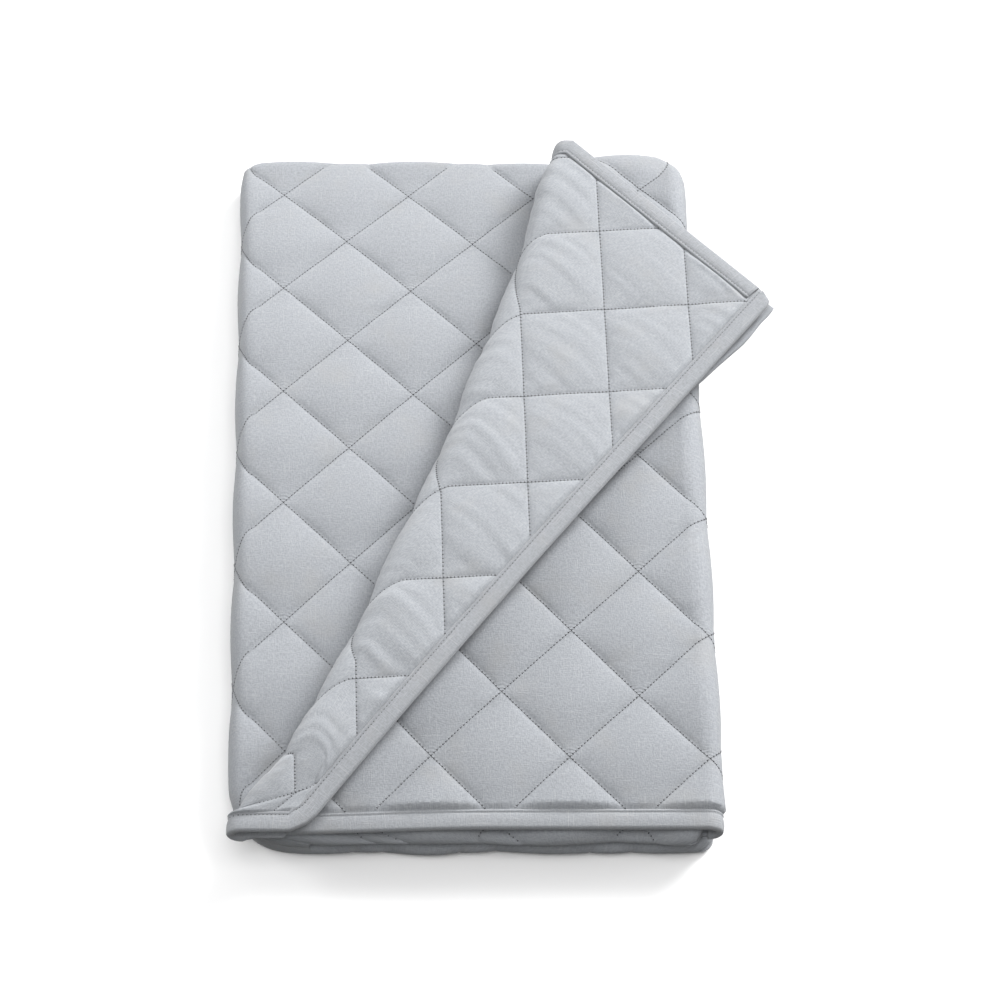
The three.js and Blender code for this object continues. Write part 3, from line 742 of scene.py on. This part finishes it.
def pucker_group():
    """Small curved puckers behind each crossing of the seams, read from the net's own numbers."""
    tree = bpy.data.node_groups.new("seam_puckers", "ShaderNodeTree")
    socket(tree, "Seams", "NodeSocketVector", "INPUT")
    socket(tree, "Puckers", "NodeSocketFloat", "OUTPUT")
    nodes, links = tree.nodes, tree.links
    part = nodes.new("ShaderNodeSeparateXYZ")
    links.new(nodes.new("NodeGroupInput").outputs["Seams"], part.inputs["Vector"])
    out = nodes.new("NodeGroupOutput")
    sides = []
    for name in ("X", "Y"):
        whole = add_math(nodes, links, "ROUND", part.outputs[name], 0)
        sides.append(add_math(nodes, links, "SUBTRACT", part.outputs[name], whole))
    squares = [add_math(nodes, links, "MULTIPLY", side, side) for side in sides]
    far = add_math(nodes, links, "SQRT", add_math(nodes, links, "ADD", *squares), 0)
    behind = add_range(nodes, links, add_math(nodes, links, "SUBTRACT", *sides), 0.0, 0.06)
    near = add_math(nodes, links, "SUBTRACT", 1.0, add_range(nodes, links, far, 0.03, 0.16))
    rings = add_math(nodes, links, "SINE", add_math(nodes, links, "MULTIPLY", far, 165), 0)
    shown = add_math(nodes, links, "MULTIPLY", behind, near)
    links.new(add_math(nodes, links, "MULTIPLY", rings, shown), out.inputs["Puckers"])
    return tree


LINEN = linen_group()
PUCKERS = pucker_group()


def mix_colour(nodes, links, factor, dark, light):
    node = nodes.new("ShaderNodeMix")
    node.data_type = "RGBA"
    links.new(factor, node.inputs["Factor"])
    for value, place in ((dark, node.inputs["A"]), (light, node.inputs["B"])):
        if isinstance(value, tuple):
            place.default_value = (*value, 1)
        else:
            links.new(value, place)
    return node.outputs["Result"]


def add_group(nodes, links, tree, uv_name):
    """Places a node group that reads one of the UV maps."""
    uv = nodes.new("ShaderNodeUVMap")
    uv.uv_map = uv_name
    group = nodes.new("ShaderNodeGroup")
    group.node_tree = tree
    links.new(uv.outputs["UV"], group.inputs[0])
    return group.outputs


def cloth_material(name, dark, light, slub, warm, slubs):
    """Linen of two close colours, with lighter thick threads and warmer patches."""
    material = bpy.data.materials.new(name)
    material.use_nodes = True
    nodes, links = material.node_tree.nodes, material.node_tree.links
    shader = nodes["Principled BSDF"]
    shader.inputs["Roughness"].default_value = 0.85
    shader.inputs["Specular IOR Level"].default_value = 0.25
    shader.inputs["Sheen Weight"].default_value = 0.25
    shader.inputs["Sheen Roughness"].default_value = 0.5
    linen = add_group(nodes, links, LINEN, "cloth")
    colour = mix_colour(nodes, links, linen["Weave"], dark, light)
    shown = add_math(nodes, links, "MULTIPLY", linen["Slubs"], slubs)
    colour = mix_colour(nodes, links, shown, colour, slub)
    patch = add_range(nodes, links, linen["Patches"], 0.5, 0.75, 0.5)
    links.new(mix_colour(nodes, links, patch, colour, warm), shader.inputs["Base Color"])
    height = add_math(nodes, links, "ADD", add_math(nodes, links, "MULTIPLY", linen["Weave"], 0.15),
                      add_math(nodes, links, "MULTIPLY", shown, 0.25))
    puckers = add_group(nodes, links, PUCKERS, "seams")["Puckers"]
    height = add_math(nodes, links, "ADD", height, add_math(nodes, links, "MULTIPLY", puckers, 0.2))
    relief = nodes.new("ShaderNodeBump")
    relief.inputs["Strength"].default_value = 0.8
    relief.inputs["Distance"].default_value = 0.001
    links.new(height, relief.inputs["Height"])
    links.new(relief.outputs["Normal"], shader.inputs["Normal"])
    return material


QUILT_LOOK = cloth_material(
    "quilted_linen", dark=(0.240, 0.251, 0.268), light=(0.310, 0.324, 0.345),
    slub=(0.36, 0.37, 0.385), warm=(0.290, 0.293, 0.296), slubs=0.35)
CORNER_LOOK = cloth_material(
    "inner_linen", dark=(0.250, 0.262, 0.279), light=(0.322, 0.336, 0.356),
    slub=(0.39, 0.40, 0.415), warm=(0.302, 0.305, 0.308), slubs=0.25)
BINDING_LOOK = cloth_material(
    "binding_linen", dark=(0.234, 0.243, 0.257), light=(0.291, 0.303, 0.32),
    slub=(0.343, 0.348, 0.36), warm=(0.274, 0.274, 0.277), slubs=0.5)


# makes the sewing thread, and also the near-black painted shade that stands in for the needle holes
def thread_and_shade_material(name, dark, light):
    material = bpy.data.materials.new(name)
    material.use_nodes = True
    nodes, links = material.node_tree.nodes, material.node_tree.links
    shader = nodes["Principled BSDF"]
    shader.inputs["Roughness"].default_value = 0.7
    place = nodes.new("ShaderNodeTexCoord").outputs["Object"]
    twist = add_noise(nodes, links, place, (700, 700, 700), 1)
    links.new(mix_colour(nodes, links, twist, dark, light), shader.inputs["Base Color"])
    return material


THREAD_LOOK = thread_and_shade_material("sewing_thread", dark=(0.20, 0.21, 0.225), light=(0.33, 0.34, 0.355))
# painted shade: near-black marks where the needle holes lie in shadow, not a colour of the cloth or thread
NEEDLE_HOLE_SHADE_LOOK = thread_and_shade_material("needle_hole_painted_shade", dark=(0.03, 0.031, 0.033), light=(0.07, 0.072, 0.077))


# Pieces

def finish_piece(name, bm, looks, replaces=None):
    for face in bm.faces:
        face.smooth = True
    mesh = bpy.data.meshes.new(name)
    bm.to_mesh(mesh)
    bm.free()
    for look in looks:
        mesh.materials.append(look)
    piece = bpy.data.objects.new(name, mesh)
    bpy.context.scene.collection.objects.link(piece)
    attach(piece, "root")
    if replaces:
        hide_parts(replaces)
    return piece


def filled_cloth(name, bm, place, look, net=None, grain=0.0):
    """Gives a flat net its two faces and lays it in its place; grain turns the threads."""
    bmesh.ops.delete(bm, geom=[v for v in bm.verts if not v.link_faces], context="VERTS")
    made = bmesh.ops.extrude_face_region(bm, geom=bm.faces[:], use_keep_orig=True)
    upper = {v for v in made["geom"] if isinstance(v, bmesh.types.BMVert)}
    uv = bm.loops.layers.uv.new("cloth")
    seams = bm.loops.layers.uv.new("seams")
    turn = Matrix.Rotation(-grain, 2)
    for face in bm.faces:
        for loop in face.loops:
            loop[uv].uv = turn @ loop.vert.co.xy
            if net:
                loop[seams].uv = diamond_at(*loop.vert.co.xy, net)
    for v in bm.verts:
        v.co = place(v.co.x, v.co.y, v in upper)
    bmesh.ops.remove_doubles(bm, verts=bm.verts[:], dist=2e-5)
    bmesh.ops.recalc_face_normals(bm, faces=bm.faces[:])
    piece = finish_piece(name, bm, [look], "quilt")
    return piece


def lower_layers():
    left = FOLD_X - FOLD_FLAT - (LOW_LIP_X - FOLD_X) - LIP_FLAT - SLIT_DEEP
    right = MIDDLE_LIP_X + LIP_FLAT + SLIT_DEEP
    bm = flat_net((-5, -12), (10, 4), middle_net_point)
    cut(bm, (left, 0), (-1, 0))
    cut(bm, (right, 0), (1, 0))
    cut(bm, (0, Y_FRONT), (0, -1))
    cut(bm, (0, Y_BACK), (0, 1))
    for part in END_CUTS:
        cut(bm, (0, Y_FRONT + part * END_ROUND), (0, 1), clear=False)
        cut(bm, (0, Y_BACK - part * END_ROUND), (0, 1), clear=False)
    for lip_x, way in ((MIDDLE_LIP_X, 1), (left + LIP_FLAT + SLIT_DEEP, -1)):
        for i in range(7):
            cut(bm, (lip_x + way * LIP_FLAT * i / 6, 0), (1, 0), clear=False)
    return filled_cloth("quilt_lower_layers", bm, lower_place, QUILT_LOOK, NET_MIDDLE)


def top_layer():
    bm = flat_net((-3, -7), (12, 7), top_net_point)
    cut(bm, (0, TOP_FRONT), (0, -1))
    back = flat_back(TOP_BACK)
    cut(bm, (0, back), (0, 1))
    cut(bm, (WRAP_BEND + WRAP_FLAT + WRAP_TAIL, 0), (1, 0))
    for i in range(9):
        cut(bm, (WRAP_BEND + WRAP_FLAT * i / 8, 0), (1, 0), clear=False)
    for edge in EDGE_CUTS:
        cut(bm, (0, TOP_FRONT + edge), (0, 1), clear=False)
        cut(bm, (0, back - edge), (0, 1), clear=False)
    cut_left_of(bm, [(roll_x(c.y) + UNDER_ROLL + SKEW * c.y, flat_back(c.y)) for c in CREASE_LINE])
    return filled_cloth("quilt_top_layer", bm, top_place, QUILT_LOOK, NET_TOP)


def long_turn(t):
    """Where the edge of the turned-back corner turns into the front edge, and the way out there."""
    spot = Vector(LONG_END) + LONG_WAY * -TURN_ROUND * (1 - t) + Vector((-TURN_ROUND * t, 0))
    return spot, LONG_OUT.lerp(Vector((0, -1)), t).normalized()


def corner_end(y):
    """Where the cloth of the turned-back corner ends, under its roll."""
    return roll_x(y) - roll_flat(y) - ROLL_TAIL - FRONT_DRAWN * smooth(-y, *FRONT_DRAWN_ROWS)


def turned_corner():
    bm = flat_net((-6, -6), (3, 3), flap_net_point, CORNER_STEPS)
    cut(bm, CORNER, LONG_OUT)
    cut(bm, CORNER, SHORT_OUT)
    tip = (LONG_OUT + SHORT_OUT).normalized()
    middle = Vector(CORNER) - tip * TIP_ROUND / tip.dot(LONG_OUT)
    for t in TIP_CUTS:
        way = LONG_OUT.lerp(SHORT_OUT, t).normalized()
        cut(bm, middle + way * TIP_ROUND, way)
    cut(bm, (0, FLAP_FRONT), (0, -1))
    cut(bm, (0, FLAP_BACK), (0, 1))
    for t in TURN_CUTS:
        cut(bm, *long_turn(t))
    for edge in EDGE_CUTS:
        for way in (LONG_OUT, SHORT_OUT):
            cut(bm, Vector(CORNER) - way * edge, way, clear=False)
        cut(bm, (0, FLAP_FRONT + edge), (0, 1), clear=False)
        cut(bm, (0, FLAP_BACK - edge), (0, 1), clear=False)
    cut_left_of(bm, [(corner_end(c.y), c.y) for c in CREASE_LINE])
    grain = math.atan2(LONG_WAY.y, LONG_WAY.x)
    return filled_cloth("quilt_turned_corner", bm, flap_place, CORNER_LOOK, grain=grain)


def corner_ply():
    bm = bmesh.new()
    bmesh.ops.create_grid(bm, x_segments=40, y_segments=90, size=0.5)
    bmesh.ops.translate(bm, verts=bm.verts[:], vec=(0.5, 0.5, 0))
    for near in PLY_CUTS:
        cut(bm, (near, 0), (1, 0), clear=False)
    return filled_cloth("quilt_corner_under", bm, ply_place, QUILT_LOOK)


# Binding

def turns(count):
    """Angles of half a turn in equal steps."""
    return [math.pi * i / count for i in range(count + 1)]


def binding_profile():
    """The strip's section: out from the cloth's edge, and up from the cloth's middle."""
    inner = EDGE_THICK / 2 + CLEAR
    outer = inner + BIND_WALL
    nose = CLEAR + BIND_WALL
    ridge = ((-0.0002, 0.74), (0.0005, 0.92), (0.0015, 1.0), (0.0024, 0.92), (0.0032, 0.72), (0.0041, 0.86))
    across = [(o - BIND_WIDE, outer * n) for o, n in ridge]
    for i in range(6):
        swell = BIND_EDGE + BIND_SWELL * math.sin(math.pi * (i + 1) / 7)
        across.append((-BIND_FLAT * (1 - i / 6), outer * swell))
    bend = [(nose * math.sin(a), outer * BIND_EDGE * math.cos(a)) for a in turns(10)]
    under = [(o, -n) for o, n in reversed(across)]
    slot = [(-BIND_WIDE, -inner), (CLEAR, -inner), (CLEAR, inner), (-BIND_WIDE, inner)]
    return across + bend + under + slot


PROFILE = binding_profile()


def flap_frame(spot, out, widen=1.0):
    """A frame on an edge of the turned-back cloth: the point, the way out and the way up."""
    step = 0.014
    z = flap_mid(*spot)
    slope = (flap_mid(*(spot - out * step)) - z) / step
    way = Vector((out.x, out.y, -slope)).normalized()
    up = way.cross(Vector((-out.y, out.x, 0))).normalized()
    return Vector((*spot, z)), way * widen, up


def fold_frames(point_at, y, inside):
    """Frames round a roll or fold that ends at y, with the way out along its length."""
    frames = []
    for a in turns(FOLD_COUNT):
        at, up = point_at(y, a)
        out = (at - point_at(y + inside, a)[0]).normalized()
        out = (out + Vector((0, -math.copysign(1, inside), 0))).normalized()
        frames.append((at + out * CLEAR / 2, out, up))
    return frames


def top_wrap(y, a):
    """A point round the right-hand fold, from its top at 0 to its bottom at pi, with its normal."""
    at, up = wrap_point(WRAP_BEND + WRAP_FLAT * a / math.pi, y, 0)
    return Vector((at.x - SKEW * y, at.y, at.z)), up


def front_frames():
    """From the corner along the long edge, round the roll, along the front and round the right-hand fold."""
    corner = Vector(CORNER)
    length = (Vector(LONG_END) - corner).length
    frames = []
    for i in range(LONG_COUNT + 1):
        far = lerp(-CLEAR - BIND_WALL, length - LONG_STOP, i / LONG_COUNT)
        frames.append(flap_frame(corner + LONG_WAY * far, LONG_OUT))
    for t in (*TURN_CUTS, 1.0):
        frames.append(flap_frame(*long_turn(t), 1.0 + TURN_WIDEN * math.sin(math.pi * t)))
    frames += fold_frames(roll_point, FLAP_FRONT, FOLD_STEP)
    fold = [(at, out, -up) for at, out, up in fold_frames(top_wrap, TOP_FRONT, FOLD_STEP)]
    start, way, _ = frames[-1]
    for i in range(1, FRONT_COUNT):
        at = start.lerp(fold[0][0], i / FRONT_COUNT)
        at.y = TOP_FRONT - CLEAR / 2 - front_step(at.x)
        frames.append((at, way.lerp(fold[0][1], min(1.0, i / FRONT_BLEND)), Vector((0, 0, -1))))
    return frames + fold


def end_frames():
    """From beside the long strip along the short edge and round the back end of the roll."""
    corner = Vector(CORNER)
    length = (FLAP_BACK - CORNER[1]) / SHORT_WAY.y
    frames = []
    for i in range(SHORT_COUNT + 1):
        far = lerp(BIND_WIDE + SHORT_START, length - SHORT_STOP, i / SHORT_COUNT)
        frames.append(flap_frame(corner + SHORT_WAY * far, SHORT_OUT))
    back = Vector((0, 1))
    miter = (SHORT_OUT + back).normalized()
    frames.append(flap_frame(Vector((flap_right(FLAP_BACK), FLAP_BACK)), miter, 1 / miter.dot(back)))
    frames += fold_frames(roll_point, FLAP_BACK, -FOLD_STEP)
    return frames[::-1]


def back_frames():
    """Along the edge that hangs down at the back."""
    y, drop, turned = drape(TOP_BACK)
    out = Vector((0, math.cos(turned), -math.sin(turned)))
    up = Vector((0, math.sin(turned), math.cos(turned)))
    z = top_of_middle(y) + TOP_MID - drop
    left = crease_x(y) + BACK_START
    right = wrap(y, drop)[1] - SKEW * y - BACK_STOP
    across = [lerp(left, right, i / BACK_COUNT) for i in range(BACK_COUNT + 1)]
    return [(Vector((x, y - ROW_TILT * (x + SKEW * y), z)), out, up) for x in across]


def along_frames(frames):
    """Distance of each frame from the first one."""
    lengths = [0.0]
    for (a, _, _), (b, _, _) in zip(frames, frames[1:]):
        lengths.append(lengths[-1] + (b - a).length)
    return lengths


def binding(name, node, frames, start_round=0.0):
    """A strip folded over an edge, with small ripples where its sewing draws it in."""
    lengths = along_frames(frames)
    around = len(PROFILE)
    bm = bmesh.new()
    bmesh.ops.create_grid(bm, x_segments=around, y_segments=len(frames) - 1, size=0.5)
    uv = bm.loops.layers.uv.new("cloth")
    spots = {}
    for v in bm.verts:
        spots[v] = (round((v.co.x + 0.5) * around), round((v.co.y + 0.5) * (len(frames) - 1)))
    for face in bm.faces:
        for loop in face.loops:
            i, j = spots[loop.vert]
            loop[uv].uv = (0.0015 * i, lengths[j])
    for v, (i, j) in spots.items():
        at, out, up = frames[j]
        o, n = PROFILE[i % around]
        if lengths[j] < start_round:
            o = min(o, max(o, 0.0) - round_in(lengths[j], start_round))
        ripple = BIND_RIPPLE * noise.noise(Vector((lengths[j] / RIPPLE_SIZE[0], o / RIPPLE_SIZE[1], 3.0)))
        rippled = n + math.copysign(ripple, n) * (abs(n) > RIPPLE_FACE)
        v.co = at + out * (o - RIPPLE_EDGE_SHARE * ripple * (o < -RIPPLE_EDGE)) + up * rippled
    bmesh.ops.remove_doubles(bm, verts=bm.verts[:], dist=1e-6)
    bmesh.ops.holes_fill(bm, edges=[e for e in bm.edges if e.is_boundary], sides=0)
    bmesh.ops.triangulate(bm, faces=[f for f in bm.faces if len(f.verts) > 4])
    bmesh.ops.recalc_face_normals(bm, faces=bm.faces[:])
    piece = finish_piece(name, bm, [BINDING_LOOK], node)
    return piece


# Sewing

def sew(bm, at, along, up):
    """One stitch, and at its end a near-black mark that is painted shade for the needle hole."""
    along = along.normalized()
    side = up.cross(along).normalized()
    high = along.cross(side).normalized()
    # the second mark is painted shade for the needle hole, in the near-black look
    for (long, wide, tall), shift, look in ((STITCH, 0.0, 0), (HOLE, STITCH_PITCH / 2, 1)):
        turn = Matrix((along * long, side * wide, high * tall)).transposed().to_4x4()
        where = Matrix.Translation(at + along * shift)
        made = bmesh.ops.create_icosphere(bm, subdivisions=1, radius=1, matrix=where @ turn)
        for face in {f for v in made["verts"] for f in v.link_faces}:
            face.material_index = look


def sew_net(name, place, to_flat, low, high, keep):
    """Stitches along both families of seams of a net, where keep says that they show."""
    bm = bmesh.new()
    count = round(SEAM_APART / STITCH_PITCH)
    for turned in (False, True):
        rows, steps = (1, 0) if turned else (0, 1)
        for line in range(low[rows], high[rows] + 1):
            seam = bmesh.new()
            for i in range((high[steps] - low[steps]) * count):
                t = low[steps] + (i + 0.5) / count
                spot = [to_flat(*((t + d, line) if turned else (line, t + d))) for d in SEW_STEPS]
                if not keep(*spot[1]):
                    continue
                before, at, after = (place(*s, True) for s in spot)
                up = (at - place(*spot[1], False)).normalized()
                sew(seam, at + up * STITCH_UP, after - before, up)
            put_in(bm, seam)
    return finish_piece(name, bm, [THREAD_LOOK, NEEDLE_HOLE_SHADE_LOOK])


def put_in(bm, part):
    """Adds a part to a larger mesh."""
    mesh = bpy.data.meshes.new("part")
    part.to_mesh(mesh)
    part.free()
    bm.from_mesh(mesh)
    bpy.data.meshes.remove(mesh)


def shows_on_middle(x, y):
    """Along the front, and on the left from under the fold up to the crease."""
    if y < Y_FRONT + SEAM_END:
        return y > Y_FRONT + SEAM_START and FOLD_X < x < MIDDLE_LIP_X
    return y < Y_BACK - SEAM_END and FOLD_X - FOLD_SEAM < x < crease_x(y) + SKEW * y + CREASE_SEAM


def shows_on_top(x, y):
    """Between the bindings, from the crease to under the right-hand fold."""
    y = laid_back(y)
    inside = TOP_FRONT + BIND_WIDE < y < TOP_BACK - BIND_WIDE and x < WRAP_BEND + WRAP_FLAT - WRAP_SEAM
    world = x - SKEW * y
    return inside and world > crease_x(min(y, CREASE[-1][1])) + TOP_SEAM


def shows_on_corner(x, y):
    """Inside the bindings, as far as a little past the middle of the roll."""
    spot = Vector((x - CORNER[0], y - CORNER[1]))
    edge = min(-spot.dot(LONG_OUT), -spot.dot(SHORT_OUT), y - FLAP_FRONT, FLAP_BACK - y)
    return edge > BIND_WIDE and x > roll_x(y) - ROLL_SEAM * roll_flat(y)


def sew_binding(name, frames):
    """A line of stitches near the inner edge of a strip."""
    bm = bmesh.new()
    lengths = along_frames(frames)
    height = EDGE_THICK / 2 + CLEAR + BIND_WALL
    j = 0
    for i in range(int(lengths[-1] / STITCH_PITCH)):
        t = (i + 0.5) * STITCH_PITCH
        while lengths[j + 1] < t:
            j += 1
        part = (t - lengths[j]) / (lengths[j + 1] - lengths[j])
        at, out, up = (a.lerp(b, part) for a, b in zip(frames[j], frames[j + 1]))
        way = frames[j + 1][0] - frames[j][0]
        sew(bm, at + out * (BIND_SEAM - BIND_WIDE) + up * height * BIND_SEAM_HEIGHT, way, up)
    return finish_piece(name, bm, [THREAD_LOOK, NEEDLE_HOLE_SHADE_LOOK])


lower_layers()
top_layer()
turned_corner()
corner_ply()
binding("binding_long", "binding_front", front_frames(), TIP_ROUND + 0.002)
binding("binding_short", "binding_end", end_frames())
binding("binding_hanging", "binding_back", back_frames())

# the sewing pieces hold the stitches and the painted shade of their needle holes
sew_net("sewing_middle", lower_place, middle_net_point, (-2, -8), (10, 3), shows_on_middle)
sew_net("sewing_top", top_place, top_net_point, (-2, -8), (11, 5), shows_on_top)
sew_net("sewing_corner", flap_place, flap_net_point, (-5, -6), (3, 3), shows_on_corner)
sew_binding("sewing_binding_long", front_frames())
sew_binding("sewing_binding_short", end_frames())


# Stage, light and camera

def floor(size, drop):
    """A plain pale floor, a hair below the cloth."""
    bm = bmesh.new()
    bmesh.ops.create_grid(bm, x_segments=1, y_segments=1, size=size)
    bmesh.ops.translate(bm, verts=bm.verts[:], vec=(0, 0, -drop))
    mesh = bpy.data.meshes.new("floor")
    bm.to_mesh(mesh)
    bm.free()
    look = bpy.data.materials.new("pale_floor")
    look.use_nodes = True
    look.node_tree.nodes["Principled BSDF"].inputs["Base Color"].default_value = (0.95, 0.95, 0.95, 1)
    look.node_tree.nodes["Principled BSDF"].inputs["Roughness"].default_value = 0.9
    mesh.materials.append(look)
    plane = bpy.data.objects.new("floor", mesh)
    bpy.context.scene.collection.objects.link(plane)
    plane.visible_diffuse = False


def area_light(name, at, target, size, power):
    data = bpy.data.lights.new(name, "AREA")
    data.energy = power
    data.size = size
    light = bpy.data.objects.new(name, data)
    light.location = at
    light.rotation_euler = (Vector(target) - Vector(at)).to_track_quat("-Z", "Y").to_euler()
    bpy.context.scene.collection.objects.link(light)


def light_up(world, floor_light, top_light):
    """Even light from above that fades towards the floor."""
    nodes, links = world.node_tree.nodes, world.node_tree.links
    part = nodes.new("ShaderNodeSeparateXYZ")
    links.new(nodes.new("ShaderNodeTexCoord").outputs["Generated"], part.inputs["Vector"])
    shade = add_range(nodes, links, part.outputs["Z"], -0.1, 0.6, top_light)
    nodes["Background"].inputs["Color"].default_value = (1, 1, 1, 1)
    links.new(add_math(nodes, links, "ADD", shade, floor_light), nodes["Background"].inputs["Strength"])


def camera(at, down, lens):
    """A camera that looks to the back and down by an angle in degrees."""
    data = bpy.data.cameras.new("camera")
    data.lens = lens
    data.sensor_width = 36
    data.clip_end = 50
    view = bpy.data.objects.new("camera", data)
    view.location = at
    view.rotation_euler = (math.radians(90 - down), 0, 0)
    bpy.context.scene.collection.objects.link(view)
    bpy.context.scene.camera = view


floor(size=6, drop=0.0005)
area_light("key", (4.6, 4.5, 3.8), target=(0, 0, 0), size=3.4, power=880)
area_light("top", (-0.1, -0.9, 2.8), target=(0, 0, 0), size=1.8, power=36)
area_light("left", (-2.2, 0.6, 0.8), target=(0, 0, 0.06), size=1.2, power=32)
area_light("right", (2.2, 0, 0.6), target=(0, 0, 0.06), size=0.8, power=12)
area_light("back", (-0.4, 2.4, 1.0), target=(0, 0, 0.06), size=1.4, power=10)
world = bpy.data.worlds.new("studio")
world.use_nodes = True
light_up(world, floor_light=0.06, top_light=0.42)
bpy.context.scene.world = world
bpy.context.scene.view_settings.view_transform = "Standard"
camera(at=(0.035, -1.791, 2.996), down=59.22, lens=115.2)
